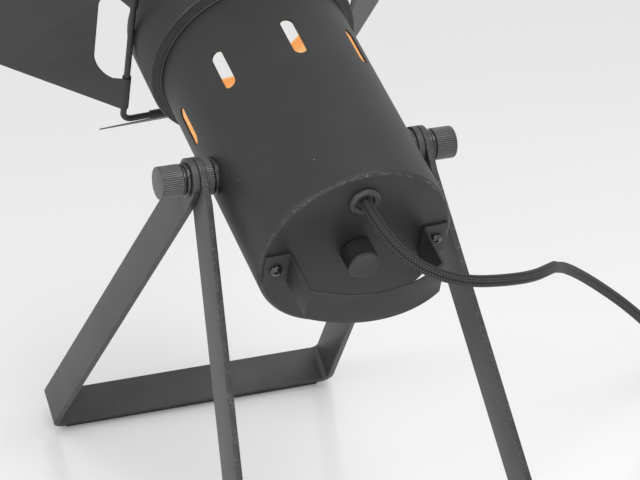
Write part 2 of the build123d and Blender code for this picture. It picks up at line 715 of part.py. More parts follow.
plug_back = tail_start + leaving * tail_length
with BuildPart() as plug_body:
    with BuildSketch(Plane(origin=plug_back, x_dir=across_plug, z_dir=leaving)):
        RectangleRounded(12, 10, 4)
    with BuildSketch(Plane(origin=plug_back + leaving * plug_taper, x_dir=across_plug, z_dir=leaving)):
        RectangleRounded(plug_width, plug_height, 5)
    loft()
    with BuildSketch(Plane(origin=plug_back + leaving * plug_taper, x_dir=across_plug, z_dir=leaving)):
        RectangleRounded(plug_width, plug_height, 5)
    extrude(amount=plug_length - plug_taper)
save(plug_body, "plug_body")

with BuildPart() as plug_pins:
    with BuildSketch(Plane(origin=plug_back + leaving * plug_length, x_dir=across_plug, z_dir=leaving)):
        with GridLocations(pin_spacing, 1, 2, 1):
            Circle(pin_radius)
    extrude(amount=pin_length)
save(plug_pins, "plug_pins")
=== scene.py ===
from math import atan2, cos, hypot, pi, radians, sin, sqrt

import bpy
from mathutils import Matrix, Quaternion, Vector


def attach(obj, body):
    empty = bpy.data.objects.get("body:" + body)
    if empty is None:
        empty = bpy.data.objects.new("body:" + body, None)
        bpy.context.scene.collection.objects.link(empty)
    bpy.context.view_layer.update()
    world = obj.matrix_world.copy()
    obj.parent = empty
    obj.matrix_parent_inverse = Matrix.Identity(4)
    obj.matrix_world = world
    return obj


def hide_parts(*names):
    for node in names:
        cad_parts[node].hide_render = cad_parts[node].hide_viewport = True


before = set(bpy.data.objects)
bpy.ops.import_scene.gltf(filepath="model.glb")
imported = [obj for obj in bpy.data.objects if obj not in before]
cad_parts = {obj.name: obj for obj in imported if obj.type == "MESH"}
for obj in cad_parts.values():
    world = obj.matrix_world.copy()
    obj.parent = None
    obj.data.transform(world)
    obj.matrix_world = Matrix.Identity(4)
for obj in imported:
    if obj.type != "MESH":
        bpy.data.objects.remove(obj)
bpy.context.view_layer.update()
MM = 0.001


# ---- table and light -------------------------------------------------------------
# A white satin table that runs on out of sight, under an even white sky, with three
# soft lamps that put small lights on the glossy screws and washers.
sky_level = 0.86
table_size = 16.0
# the table is painted lighter towards the camera: painted light that lifts the lamp's soft shadow there
table_far, table_near_painted_light = 0.73, 0.98     # its white beyond the far line and before the near line
far_line, near_line = -0.7, 0.35       # metres behind the middle of the table
lamps_aim = Vector((0, 0, 0.25))
lamps = (("overhead_lamp", (-0.45, 0.75, 2.3), 1.3, 14),     # name, place, size in metres, watts
         ("left_lamp", (1.9, 0.6, 1.3), 0.8, 10),
         ("low_fill", (0.5, 2.2, 0.7), 1.6, 12))

world = bpy.data.worlds.new("white_sky")
bpy.context.scene.world = world
world.use_nodes = True
world.node_tree.nodes["Background"].inputs["Color"].default_value = (1, 1, 1, 1)
world.node_tree.nodes["Background"].inputs["Strength"].default_value = sky_level
bpy.context.scene.view_settings.view_transform = "Standard"


class Wire:
    """A socket of a finish; sums, products and comparisons of wires add Math nodes."""

    def __init__(self, finish, socket):
        self.finish, self.socket = finish, socket

    def sum_with(self, operation, other, turned=False):
        values = [other, self] if turned else [self, other]
        return self.finish.node("Math", {"operation": operation}, dict(enumerate(values)))

    def __add__(self, other): return self.sum_with("ADD", other)
    def __radd__(self, other): return self.sum_with("ADD", other)
    def __sub__(self, other): return self.sum_with("SUBTRACT", other)
    def __rsub__(self, other): return self.sum_with("SUBTRACT", other, True)
    def __mul__(self, other): return self.sum_with("MULTIPLY", other)
    def __truediv__(self, other): return self.sum_with("DIVIDE", other)
    def __gt__(self, other): return self.sum_with("GREATER_THAN", other)
    def __lt__(self, other): return self.sum_with("LESS_THAN", other)
    def __abs__(self): return self.finish.node("Math", {"operation": "ABSOLUTE"}, {0: self})

    def out(self, name):
        return Wire(self.finish, self.socket.node.outputs[name])

    def ramp(self, low, high):
        """0 below low, 1 above high, smooth between."""
        settings = {"interpolation_type": "SMOOTHSTEP"}
        return self.finish.node("MapRange", settings, {"Value": self, "From Min": low, "From Max": high})


class Finish:
    """A material with one Principled shader; feed() links or sets its sockets."""

    def __init__(self, name, **fixed):
        self.material = bpy.data.materials.new(name)
        self.material.use_nodes = True
        self.tree = self.material.node_tree
        self.shader = self.tree.nodes["Principled BSDF"]
        self.shade(**fixed)
        self.place = self.node("TexCoord").out("Object")

    def feed(self, node, sockets):
        for key, value in sockets.items():
            socket = node.inputs[key]
            if isinstance(value, Wire):
                self.tree.links.new(value.socket, socket)
            elif isinstance(value, tuple) and len(value) == 3 and socket.type == "RGBA":
                socket.default_value = (*value, 1)
            else:
                socket.default_value = value

    def node(self, kind, settings=None, sockets=None):
        prefix = "ShaderNode" + ("Tex" if kind in ("Noise", "Voronoi", "White") else "")
        kind = {"White": "WhiteNoise"}.get(kind, kind)
        node = self.tree.nodes.new(prefix + kind)
        for key, value in (settings or {}).items():
            setattr(node, key, value)
        self.feed(node, sockets or {})
        return Wire(self, next(out for out in node.outputs if out.enabled))

    def noise(self, size, detail=2.0):
        """Noise with features of about that size, in metres."""
        return self.node("Noise", None, {"Vector": self.place, "Scale": 1 / size, "Detail": detail})

    def mix(self, mask, first, second):
        node = self.tree.nodes.new("ShaderNodeMix")
        node.data_type = "RGBA"
        for key, kind, value in (("Factor", "VALUE", mask), ("A", "RGBA", first), ("B", "RGBA", second)):
            socket = next(found for found in node.inputs if found.name == key and found.type == kind)
            if isinstance(value, Wire):
                self.tree.links.new(value.socket, socket)
            else:
                socket.default_value = (*value, 1)
        return Wire(self, next(out for out in node.outputs if out.type == "RGBA"))

    def bump(self, *layers):
        """Layers of (height wire, depth in metres), each over the one before."""
        normal = None
        for height, depth in layers:
            sockets = {"Height": height, "Distance": depth, "Strength": 1.0}
            if normal:
                sockets["Normal"] = normal
            normal = self.node("Bump", None, sockets)
        self.feed(self.shader, {"Normal": normal})

    def shade(self, **sockets):
        self.feed(self.shader, {key.replace("_", " "): value for key, value in sockets.items()})

    def on(self, piece):
        piece.data.materials.clear()
        piece.data.materials.append(self.material)


def clear_selection():
    if bpy.context.mode != "OBJECT":
        bpy.ops.object.mode_set(mode="OBJECT")
    bpy.ops.object.select_all(action="DESELECT")


def select_only(piece):
    clear_selection()
    piece.select_set(True)
    bpy.context.view_layer.objects.active = piece


clear_selection()
bpy.ops.mesh.primitive_plane_add(size=table_size, location=(0, 0, 0))
table = bpy.context.object
table.name = "table_top"
satin_white = Finish("satin_white_table", Roughness=0.16)
# its white is painted lighter from the far line to the near line, to lift the soft shadow near the camera
behind = satin_white.node("SeparateXYZ", None, {"Vector": satin_white.place}).out("Y")
painted_light_nearness = behind.ramp(far_line, near_line)
satin_white.shade(Base_Color=satin_white.mix(painted_light_nearness, (table_far,) * 3, (table_near_painted_light,) * 3))
satin_white.on(table)

for name, place, size, power in lamps:
    aim = lamps_aim - Vector(place)
    bpy.ops.object.light_add(type="AREA", location=place, rotation=aim.to_track_quat("-Z", "Y").to_euler())
    lamp = bpy.context.object
    lamp.name = name
    lamp.data.size = size
    lamp.data.energy = power


# ---- camera ------------------------------------------------------------------------
# It looks down at the back of the lamp from the lamp's left, a little tipped, from
# nearly two metres, through a long lens.
camera_place = Vector((0.67274, 1.53594, 1.00944))
camera_aim = Vector((-0.01053, 0.02005, 0.19986))
camera_roll = radians(2.416)
camera_lens, camera_sensor = 172.25, 36
view = (camera_aim - camera_place).to_track_quat("-Z", "Y") @ Quaternion((0, 0, 1), camera_roll)
bpy.ops.object.camera_add(location=camera_place, rotation=view.to_euler())
camera = bpy.context.object
camera.name = "camera"
camera.data.lens = camera_lens
camera.data.sensor_width = camera_sensor
bpy.context.scene.camera = camera


# ---- rear housing ---------------------------------------------------------------------
# A deep-drawn steel cup, closed at the back, with eight vents near the front.  Outside
# it is powder-coated charcoal, with a painted highlight on its rounded rear rim; inside it has
# copper-gold paint, with a faint painted glow for the bulb's warm light.  Lengths are in mm.
head_tilt = radians(19.7)
rearward = Vector((0, cos(head_tilt), -sin(head_tilt)))
downward = Vector((0, -sin(head_tilt), -cos(head_tilt)))
across = Vector((1, 0, 0))
along_head = rearward.to_track_quat("Z", "Y").to_euler()       # turns a cylinder's axis rearward
pivot_back, pivot_height, pivot_drop = 19.8, 253.0, 3.3
pivot = Vector((0, pivot_back, pivot_height)) * MM
head_middle = pivot - downward * pivot_drop * MM
housing_turn = radians(3.3)
turned_across = across * cos(housing_turn) + downward * sin(housing_turn)
turned_down = downward * cos(housing_turn) - across * sin(housing_turn)
drum_radius, drum_inside, drum_rear, drum_front = 60.0, 58.8, 77.6, 98.0
drum_edge = 3.0                                                # radius of its rear edge
wall_rear_ring, wall_front_ring = 60, -20                      # two rings in the length of its wall
vent_length, vent_width, vent_place, vent_count = 30.0, 8.0, 43.0, 8
screw_across, handle_drop = 50.0, 2.7                          # handle's screws, from the head's axis
bush_offset = 40.0                                             # cord bushing above the head's axis
switch_hole, bush_hole, screw_hole, stud_hole = 4.6, 6.0, 2.1, 3.05


def head_point(x, down, back):
    return head_middle + (across * x + downward * down + rearward * back) * MM


def turned_point(x, down, back):
    return head_middle + (turned_across * x + turned_down * down + rearward * back) * MM


def place_on_head(face):
    """How far a face's middle lies behind the head's middle, and out from its axis."""
    from_middle = face.center - head_middle
    along = from_middle.dot(rearward)
    return along, (from_middle - rearward * along).length


def corner(radius, along, size, start, end, steps=6):
    """Rings of a rounded corner: centre, size, and the angles it runs between."""
    angles = [radians(start + (end - start) * i / steps) for i in range(steps + 1)]
    return [(radius + size * cos(a), along + size * sin(a)) for a in angles]


def spun(name, middle, axis, rings, around=128, ends="filled"):
    """A turned piece: one ring, extruded along the axis and resized again and again.

    Its ends are filled, joined to each other as on a ring, or left open."""
    clear_selection()
    radius, along = rings[0]
    bpy.ops.mesh.primitive_circle_add(
        vertices=around, radius=radius * MM, fill_type="NOTHING",
        location=middle + axis * along * MM, rotation=axis.to_track_quat("Z", "Y").to_euler())
    piece = bpy.context.object
    piece.name = name
    bpy.ops.object.mode_set(mode="EDIT")
    bpy.ops.mesh.select_all(action="SELECT")
    for next_radius, next_along in rings[1:]:
        move = axis * (next_along - along) * MM
        bpy.ops.mesh.extrude_region_move(TRANSFORM_OT_translate={"value": move})
        if abs(next_radius - radius) > 1e-6:
            bpy.ops.transform.resize(value=(next_radius / radius,) * 3,
                                     center_override=middle + axis * next_along * MM)
        radius, along = next_radius, next_along
    bpy.ops.mesh.select_all(action="SELECT")
    if ends == "joined":
        bpy.ops.mesh.remove_doubles(threshold=1e-7)
    elif ends == "filled":
        bpy.ops.mesh.fill_holes(sides=0)
    return piece


def settled(piece, smooth=35):
    """Places the piece in its mesh, turns its faces outwards and smooths its curves."""
    select_only(piece)
    bpy.ops.object.transform_apply(location=True, rotation=True, scale=True)
    bpy.ops.object.mode_set(mode="EDIT")
    bpy.ops.mesh.select_all(action="SELECT")
    bpy.ops.mesh.normals_make_consistent(inside=False)
    bpy.ops.object.mode_set(mode="OBJECT")
    bpy.ops.object.shade_smooth_by_angle(angle=radians(smooth))
    return piece


def apply_modifier(piece, kind, **settings):
    select_only(piece)
    modifier = piece.modifiers.new("shape", kind)
    for key, value in settings.items():
        setattr(modifier, key, value)
    bpy.ops.object.modifier_apply(modifier=modifier.name)


def rod(centre, rotation, radius, length, around=48):
    bpy.ops.mesh.primitive_cylinder_add(vertices=around, radius=radius * MM, depth=length * MM,
                                        location=centre, rotation=rotation)
    return bpy.context.object


def cut_away(piece, tool):
    """Takes the tool's volume out of the piece, and the tool out of the scene."""
    apply_modifier(piece, "BOOLEAN", operation="DIFFERENCE", object=tool, solver="EXACT")
    bpy.data.objects.remove(tool)


def charcoal(name, lift=1.0, rough=0.5, grain=1.0):
    """Fine matt powder coat: near-black, with a close grain and a few specks of dust."""
    dark, pale, dust = (0.0105, 0.0112, 0.0112), (0.021, 0.0214, 0.0208), (0.20, 0.20, 0.19)
    dust_cells, clean_share, dust_size = 95.0, 0.72, 0.035
    coat = Finish(name, IOR=1.5)
    cloud, fine, peel = coat.noise(0.03, 3), coat.noise(0.0005), coat.noise(0.0016)
    tone = (cloud * 0.35 + fine * 0.65).ramp(0.3, 0.7)
    base = coat.mix(tone, tuple(c * lift for c in dark), tuple(c * lift for c in pale))
    cells = coat.node("Voronoi", None, {"Vector": coat.place, "Scale": dust_cells, "Randomness": 1.0})
    chosen = coat.node("White", None, {"Vector": cells.out("Position")}).out("Value") > clean_share
    base = coat.mix((cells < dust_size) * chosen, base, dust)
    coat.shade(Base_Color=base, Roughness=rough - 0.06 + fine * 0.12)
    coat.bump((peel, 0.00005 * grain), (fine, 0.00004 * grain))
    return coat


def speckled(name, dark, pale):
    """Speckled powder coat: dark, with pale grains in patches.  On the strips' sheared edges it is
    the thin coat they have; on the rounded rims of the drum and collar its pale grains are a painted highlight.
    """
    grain_size, patch_size = 0.0007, 0.006
    coat = Finish(name, IOR=1.5)
    grains = coat.noise(grain_size).ramp(0.50, 0.66)
    patches = coat.noise(patch_size).ramp(0.35, 0.62)
    coat.shade(Base_Color=coat.mix(grains * (patches * 0.8 + 0.2), (dark,) * 3, (pale,) * 3), Roughness=0.42)
    coat.bump((coat.noise(grain_size), 0.00012))
    return coat


rings = corner(drum_radius - drum_edge, drum_rear - drum_edge, drum_edge, 90, 0, 8)
rings += [(drum_radius, wall_rear_ring), (drum_radius, wall_front_ring), (drum_radius, -drum_front),
          (drum_inside, -drum_front), (drum_inside, wall_front_ring), (drum_inside, wall_rear_ring)]
inside_edge = drum_edge - (drum_radius - drum_inside)
rings += corner(drum_radius - drum_edge, drum_rear - drum_edge, inside_edge, 0, 90, 4)
housing = settled(spun("rear_housing_shell", head_middle, rearward, rings, 192))

vent_run = (vent_length - vent_width) / 2 * MM
for number in range(vent_count):
    angle = housing_turn + 2 * pi * number / vent_count
    outwards = downward * -cos(angle) + across * sin(angle)
    sideways = outwards.cross(rearward)
    vent = rod((0, 0, 0), (0, 0, 0), vent_width / 2, 12, 40)
    middle = head_point(0, 0, -vent_place) + outwards * (drum_radius - 1) * MM
    for vertex in vent.data.vertices:
        x, y, z = vertex.co
        x += vent_run if x > 1e-6 else -vent_run if x < -1e-6 else 0
        vertex.co = middle + rearward * x + sideways * y + outwards * z
    cut_away(housing, vent)
for x, down, radius in ((0, 0, switch_hole), (0, -bush_offset, bush_hole),
                        (screw_across, handle_drop, screw_hole), (-screw_across, handle_drop, screw_hole)):
    cut_away(housing, rod(turned_point(x, down, 77), along_head, radius, 8))
cut_away(housing, rod(pivot, (0, pi / 2, 0), stud_hole, 140))
settled(housing)

head_coat = charcoal("charcoal_powder_coat")
# The copper-gold paint inside glows faintly orange: a painted glow standing in for the lit bulb's warm light on
# it.
gold_with_painted_glow = Finish("copper_gold_inside_painted_glow", Metallic=0.55, Roughness=0.38)
gold_with_painted_glow.shade(Base_Color=gold_with_painted_glow.mix(gold_with_painted_glow.noise(0.012, 3), (0.62, 0.38, 0.15), (0.76, 0.52, 0.27)),
           Emission_Color=(0.74, 0.42, 0.17), Emission_Strength=0.5)
gold_with_painted_glow.bump((gold_with_painted_glow.noise(0.0009), 0.00004))
# The pale speckled coat on a band of the rounded rims is a painted highlight line.
rim_highlight_paint = speckled("painted_highlight_on_rims", 0.012, 0.12)
head_coat.on(housing)
housing.data.materials.append(gold_with_painted_glow.material)
housing.data.materials.append(rim_highlight_paint.material)
# faces on the rear rim's rounding, in a band that faces partly outwards, take the painted highlight
for face in housing.data.polygons:
    along, radius = place_on_head(face)
    inner = radius < (drum_inside + 0.3) * MM and along < (drum_rear - 0.8) * MM
    rounded = along > (drum_rear - drum_edge) * MM and 0.62 < face.normal.dot(rearward) < 0.90
    face.material_index = 1 if inner else 2 if rounded else 0
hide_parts("rear_housing")
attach(housing, "head")


# ---- front collar -----------------------------------------------------------------------
# A spun steel ring that laps over the drum's front end and runs on as a plain tube, its
# front edge turned inwards round the mouth.  Inside it is gold like the drum, with the same
# painted glow; its rounded shoulder carries the same painted highlight as the drum's rim.
lap_radius, lap_outside = 60.05, 61.55
collar_radius, collar_inside, mouth_radius = 66.8, 65.3, 61.0
collar_rear, shoulder, collar_waist, collar_front = 90.0, 93.5, 120.0, 139.0
rim_back = collar_front - (collar_radius - collar_inside)
rear_round, shoulder_round, front_round, mouth_round = 0.7, 1.4, 1.0, 0.6
collar_profile = [(lap_radius, -collar_rear), (lap_outside - 0.65, -collar_rear)]
collar_profile += corner(lap_outside - rear_round, -collar_rear - rear_round, rear_round, 90, 0, 4)
collar_profile += [(lap_outside, -collar_rear - 2.0)]
collar_profile += corner(collar_radius - shoulder_round, -shoulder - shoulder_round, shoulder_round, 90, 0, 5)
collar_profile += [(collar_radius, -collar_waist)]
collar_profile += corner(collar_radius - front_round, -collar_front + front_round, front_round, 0, -90, 4)
collar_profile += corner(mouth_radius + mouth_round, -collar_front + mouth_round, mouth_round, 270, 180, 4)
collar_profile += [(mouth_radius, -rim_back), (collar_inside, -rim_back), (collar_inside, -collar_waist),
                   (collar_inside, -shoulder - 1.5), (lap_radius, -shoulder)]
collar = spun("front_collar_ring", head_middle, rearward, collar_profile + [collar_profile[0]], 192, "joined")
settled(collar, 40)
head_coat.on(collar)
collar.data.materials.append(gold_with_painted_glow.material)
collar.data.materials.append(rim_highlight_paint.material)
# faces in a band on the collar's rounded shoulder take the painted highlight
for face in collar.data.polygons:
    along, radius = place_on_head(face)
    inner = -(collar_front - 0.2) * MM < along < -(shoulder - 0.5) * MM and radius < (collar_inside + 0.05) * MM
    rounded = along > -95.2 * MM and 0.6 < face.normal.dot(rearward) < 0.93
    face.material_index = 1 if inner else 2 if rounded else 0
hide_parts("front_collar")
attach(collar, "head")


# ---- wire frame and barn-door leaves ---------------------------------------------------------
# A square of steel wire slipped over the collar, and welded to it in four places, carries
# four sheet leaves, their tabs rolled round it.  All are powder-coated like the head.
def skin(node, edge, segments=2):
    """A node's own solid as one skin, its sharp edges softened as the coat softens them."""
    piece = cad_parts[node].copy()
    piece.data = piece.data.copy()
    piece.name = node + "_skin"
    piece.parent = None
    piece.matrix_world.identity()
    bpy.context.scene.collection.objects.link(piece)
    select_only(piece)
    bpy.ops.object.mode_set(mode="EDIT")
    bpy.ops.mesh.select_all(action="SELECT")
    bpy.ops.mesh.remove_doubles(threshold=2e-6)
    bpy.ops.mesh.dissolve_limited(angle_limit=radians(0.6))
    bpy.ops.object.mode_set(mode="OBJECT")
    if edge:
        apply_modifier(piece, "BEVEL", width=edge * MM, segments=segments, limit_method="ANGLE",
                       angle_limit=radians(30))
    bpy.ops.object.shade_smooth_by_angle(angle=radians(35))
    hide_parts(node)
    return piece


for node, body, edge in (("barn_door_frame", "head", 0.0),
                         ("left_leaf", "left_leaf", 0.2), ("right_leaf", "right_leaf", 0.2),
                         ("top_leaf", "top_leaf", 0.2), ("bottom_leaf", "bottom_leaf", 0.2)):
    leaf = skin(node, edge)
    head_coat.on(leaf)
    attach(leaf, body)


# ---- lampholder and its bracket ------------------------------------------------------------
# A bent steel bracket stands on the rear disc; a phenolic lampholder with a brass shell
# hangs from it on a hollow nipple.  The zinc-plated nuts and studs are made with it.
def clouded(name, tones, cloud, rough, wear, **fixed):
    """A finish whose colour drifts between two tones, and whose gloss varies finely.

    cloud is the size and detail of the drift, wear the size and depth of the gloss's."""
    finish = Finish(name, **fixed)
    finish.shade(Base_Color=finish.mix(finish.noise(*cloud), *tones),
                 Roughness=rough + finish.noise(wear[0]) * wear[1])
    return finish


zinc = clouded("bright_zinc_plate", ((0.50, 0.50, 0.47), (0.66, 0.66, 0.63)), (0.004, 3),
               0.28, (0.0015, 0.14), Metallic=1.0)
brass = clouded("bright_brass", ((0.62, 0.43, 0.17), (0.78, 0.58, 0.27)), (0.005, 3),
                0.24, (0.002, 0.12), Metallic=1.0)
phenolic = clouded("moulded_phenolic", ((0.012, 0.011, 0.010), (0.022, 0.020, 0.018)), (0.006, 3),
                   0.30, (0.001, 0.1), IOR=1.55)
fittings = [(node, zinc, "zinc_plated_steel", 0.2)
            for node in ("lampholder_bracket", "holder_nipple", "left_handle_nut", "right_handle_nut",
                         "bushing_nut", "left_pivot_stud", "right_pivot_stud")]
fittings += [("lampholder", phenolic, "lampholder_phenolic", 0.5),
             ("holder_shell", brass, "lampholder_brass", 0.0),
             ("switch_body", phenolic, "black_plastic", 0.4)]
for node, finish, slot, edge in fittings:
    fitting = skin(node, edge)
    finish.on(fitting)
    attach(fitting, "head")


# ---- bulb -------------------------------------------------------------------------------------
# A clear glass bulb, 60 mm across, with an aluminium screw cap and warm filament sticks
# round a glass stem.  Its neck and stem are given as radius and distance before the cap.
bracket_depth, bracket_wall, holder_floor, bulb_seat = 22.0, 1.5, 8.0, 1.0
cap_length, bulb_length, bulb_radius, glass_wall = 26.0, 108.0, 30.0, 0.8
neck = ((13.0, -0.01), (13.05, 4), (13.6, 9), (15.2, 15), (18.0, 21), (21.6, 27), (25.6, 34), (28.4, 41),
        (29.7, 47))
stem_rings = ((7.5, 0), (5.0, 8), (3.2, 20), (2.6, 30), (0.4, 31))
stick_count, stick_radius = 4, 0.8
foot_out, foot_ahead, tip_out, tip_ahead = 6, 14, 11, 50     # a stick's ends, from axis and cap

cap_back = drum_rear - (drum_radius - drum_inside) - bracket_depth - bracket_wall - holder_floor - bulb_seat
cap_front = cap_back - cap_length
bulb_front = cap_back - bulb_length
bulb_middle = bulb_front + bulb_radius
glass = [(radius, cap_front - ahead) for radius, ahead in neck]
glass += [(bulb_radius * cos(radians(a)), bulb_middle - bulb_radius * sin(radians(a))) for a in range(2, 90, 8)]
glass.append((0.4, bulb_front))
bulb = settled(spun("bulb_envelope", head_middle, rearward, glass, 96, "open"), 80)
apply_modifier(bulb, "SOLIDIFY", thickness=glass_wall * MM, offset=-1)
clear_glass = Finish("clear_bulb_glass", IOR=1.45, Transmission_Weight=1.0)
clear_glass.shade(Base_Color=(1.0, 0.98, 0.95), Roughness=0.0)
clear_glass.on(bulb)
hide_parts("bulb_glass")
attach(bulb, "head")

aluminium = clouded("bright_aluminium", ((0.72, 0.72, 0.71), (0.84, 0.84, 0.83)), (0.004, 2),
                    0.22, (0.002, 0.1), Metallic=1.0)
cap = skin("bulb_cap", 0.2)
aluminium.on(cap)
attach(cap, "head")

stem_profile = [(radius, cap_front - ahead) for radius, ahead in stem_rings]
stem = settled(spun("bulb_stem", head_middle, rearward, stem_profile, 32), 80)
clear_glass.on(stem)
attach(stem, "head")

glow = Finish("filament_glow", Roughness=0.6)
glow.shade(Base_Color=(1.0, 0.75, 0.40), Emission_Color=(1.0, 0.62, 0.26), Emission_Strength=14.0)
for number in range(stick_count):
    angle = pi / 4 + number * 2 * pi / stick_count
    outwards = across * cos(angle) + downward * sin(angle)
    foot = head_middle + (outwards * foot_out + rearward * (cap_front - foot_ahead)) * MM
    tip = head_middle + (outwards * tip_out + rearward * (cap_front - tip_ahead)) * MM
    lie = tip - foot
    clear_selection()
    stick = rod((foot + tip) / 2, lie.to_track_quat("Z", "Y").to_euler(), stick_radius, lie.length / MM, 12)
    stick.name = f"filament_{number + 1}"
    bpy.ops.object.mode_set(mode="EDIT")
    bpy.ops.mesh.select_all(action="SELECT")
    bpy.ops.mesh.bevel(offset=stick_radius / 2 * MM, segments=2)
    settled(stick)
    glow.on(stick)
    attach(stick, "head")


# ---- switch knob --------------------------------------------------------------------------------
# An aluminium cap on the rotary switch's shaft, finely ribbed round its side and coated.
# Its distances are from the head's middle, backwards.
switch_ribs, switch_rib_depth = 56, 0.3
switch_bore, switch_radius, switch_seat, switch_end = 3.1, 9.7, 78.0, 91.0
switch_foot_round, switch_rim_round = 0.5, 0.8
rib_steps = 4                                 # mesh points round a turned piece for each rib


def knurled(piece, middle, axis, low, high, depth, radius, ribs):
    """Presses straight grooves into a turned band, between two distances along its axis."""
    upright = axis.to_track_quat("Z", "Y").inverted()
    for vertex in piece.data.vertices:
        place = upright @ (vertex.co - middle)
        out = hypot(place.x, place.y)
        if not (low * MM <= place.z <= high * MM and out > (radius - 0.3) * MM):
            continue
        if round(atan2(place.y, place.x) / (2 * pi) * ribs * rib_steps) % rib_steps == 0:
            place.x, place.y = place.x * (1 - depth * MM / out), place.y * (1 - depth * MM / out)
            vertex.co = middle + upright.inverted() @ place


switch_profile = [(switch_bore, switch_seat), (switch_radius - 0.4, switch_seat)]
switch_profile += corner(switch_radius - switch_foot_round, switch_seat + switch_foot_round,
                         switch_foot_round, -90, 0, 3)
switch_profile += [(switch_radius, 84.0), (switch_radius, 90.0)]
switch_profile += corner(switch_radius - switch_rim_round, 90.4, switch_rim_round, 0, 90, 4)
switch_profile += [(8.0, 91.15), (7.6, switch_end), (0.6, switch_end)]
switch_knob = spun("switch_knob_cap", head_middle, rearward, switch_profile, switch_ribs * rib_steps)
settled(switch_knob, 30)
knurled(switch_knob, head_middle, rearward, 78.6, 90.1, switch_rib_depth, switch_radius, switch_ribs)
head_coat.on(switch_knob)
# Its rear-facing top takes a lighter copy of the coat: painted light on the face the light falls on.
switch_knob.data.materials.append(charcoal("switch_knob_face_painted_lighter", 2.2, 0.40).material)
for face in switch_knob.data.polygons:
    face.material_index = 1 if face.normal.dot(rearward) > 0.5 else 0
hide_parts("switch_knob")
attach(switch_knob, "switch_knob")


# ---- rear handle ----------------------------------------------------------------------------------
# A strip of mild steel bent to a bow with two feet, coated with the head, held by two
# shiny black cross-head screws.  A head's rings are its radius and height over the foot.
handle = skin("handle_strip", 0.35)
head_coat.on(handle)
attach(handle, "head")

lacquer = clouded("glossy_black_lacquer", ((0.006, 0.006, 0.006), (0.016, 0.016, 0.016)), (0.004, 2),
                  0.16, (0.001, 0.14), IOR=1.5, Coat_Weight=0.6, Coat_Roughness=0.06)
handle_foot = drum_rear + 1.8
shank_radius, shank_depth, seat_gap = 2.0, 8, 0.02
screw_head = ((3.75, seat_gap), (3.9, 0.25), (3.8, 0.9), (3.4, 1.6), (2.7, 2.1), (1.6, 2.36), (0.4, 2.4))
slot_length, slot_width, slot_depth, slot_middle, slot_taper = 4.6, 0.95, 2.2, 1.9, 0.45
for name, side in (("left", 1), ("right", -1)):
    seat = turned_point(side * screw_across, handle_drop, 0)
    rings = [(shank_radius, handle_foot - shank_depth), (shank_radius, handle_foot + seat_gap)]
    rings += [(radius, handle_foot + height) for radius, height in screw_head]
    screw = settled(spun(name + "_cross_screw", seat, rearward, rings, 48), 50)
    for degrees in (20 + 35 * side, 110 + 35 * side):
        bpy.ops.mesh.primitive_cube_add(size=1, location=(0, 0, 0))
        blade = bpy.context.object
        turn = Quaternion(rearward, radians(degrees))
        for vertex in blade.data.vertices:
            x, y, z = vertex.co
            taper = 1.0 if z > 0 else slot_taper
            flat = turned_across * x * slot_length * taper + turned_down * y * slot_width * taper
            vertex.co = seat + (turn @ flat + rearward * (handle_foot + slot_middle + z * slot_depth)) * MM
        cut_away(screw, blade)
    settled(screw, 50)
    lacquer.on(screw)
    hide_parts(name + "_handle_screw")
    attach(screw, "head")


# ---- cord bushing -----------------------------------------------------------------------------------
# A black moulded bushing, screwed through the rear disc: a shank, and a flange that is
# half a ring of oval section.
shank, shank_end, throat, throat_floor = 5.85, 70.0, 5.15, 78.75
ring_radius, ring_width, ring_height, ring_seat = 7.4, 2.2, 2.3, 78.5
bush_middle = turned_point(0, -bush_offset, 0)
bush_profile = [(shank, shank_end), (shank, drum_rear - 0.05), (9.2, drum_rear), (9.55, drum_rear + 0.3)]
bush_profile += [(ring_radius + ring_width * cos(radians(a)), ring_seat + ring_height * sin(radians(a)))
                 for a in range(0, 181, 18)]
bush_profile += [(throat, throat_floor), (0.5, throat_floor)]
bushing = settled(spun("cord_bushing_ring", bush_middle, rearward, bush_profile, 72))
moulding = clouded("black_moulding", ((0.026, 0.026, 0.026), (0.042, 0.042, 0.041)), (0.003, 3),
                   0.30, (0.0008, 0.12), IOR=1.5)
moulding.bump((moulding.noise(0.0007), 0.00004))
moulding.on(bushing)
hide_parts("cord_bushing")
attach(bushing, "head")


# ---- pivots ---------------------------------------------------------------------------------------------
# On each side: a knurled spacer seated on the drum, the two strips with a thin plastic
# washer between them, a glossy washer, and a knurled thumb knob on the stud.  Distances
# are from the middle of the lamp, outwards.
ribs = 48
saddle_radius = drum_radius + 0.05
spacer_foot, spacer_end, flange_radius, flange_end = 50.0, 68.1, 11.3, 62.4
knurl_radius, knurl_start, knurl_end = 11.2, 62.9, 67.9
washer_start, washer_end = 76.8, 79.3
knob_seat, knob_radius, knob_end = 79.4, 9.85, 94.9
knob_knurl_start, knob_knurl_end, knob_neck_end = 81.7, 93.8, 81.3

spacer_profile = [(stud_hole, spacer_end), (stud_hole, spacer_foot), (flange_radius, spacer_foot)]
spacer_profile += corner(flange_radius - 1.4, flange_end - 1.4, 1.4, 0, 90, 5)
spacer_profile += [(9.8, 62.5), (9.8, 62.8), (11.0, knurl_start), (knurl_radius, 63.2), (knurl_radius, 67.7),
                   (10.9, 68.05), (stud_hole, spacer_end)]
washer_profile = corner(9.6, washer_start + 0.7, 0.7, 270, 360, 4)
washer_profile += corner(9.5, washer_end - 0.8, 0.8, 0, 90, 4)
washer_profile += [(stud_hole, washer_end), (stud_hole, washer_start)]
washer_profile.append(washer_profile[0])
knob_profile = [(stud_hole, 90.4), (stud_hole, knob_seat), (9.0, knob_seat)]
knob_profile += corner(9.1, knob_seat + 0.4, 0.4, -90, 0, 3)
knob_profile += [(9.55, 80.6), (9.3, 80.95), (8.8, 81.05), (8.8, 81.4), (9.6, 81.5), (knob_radius, 81.8),
                 (knob_radius, 88.0), (knob_radius, 93.7), (9.8, 93.95)]
knob_profile += corner(9.35, knob_end - 0.4, 0.4, 0, 90, 4) + [(0.6, knob_end)]

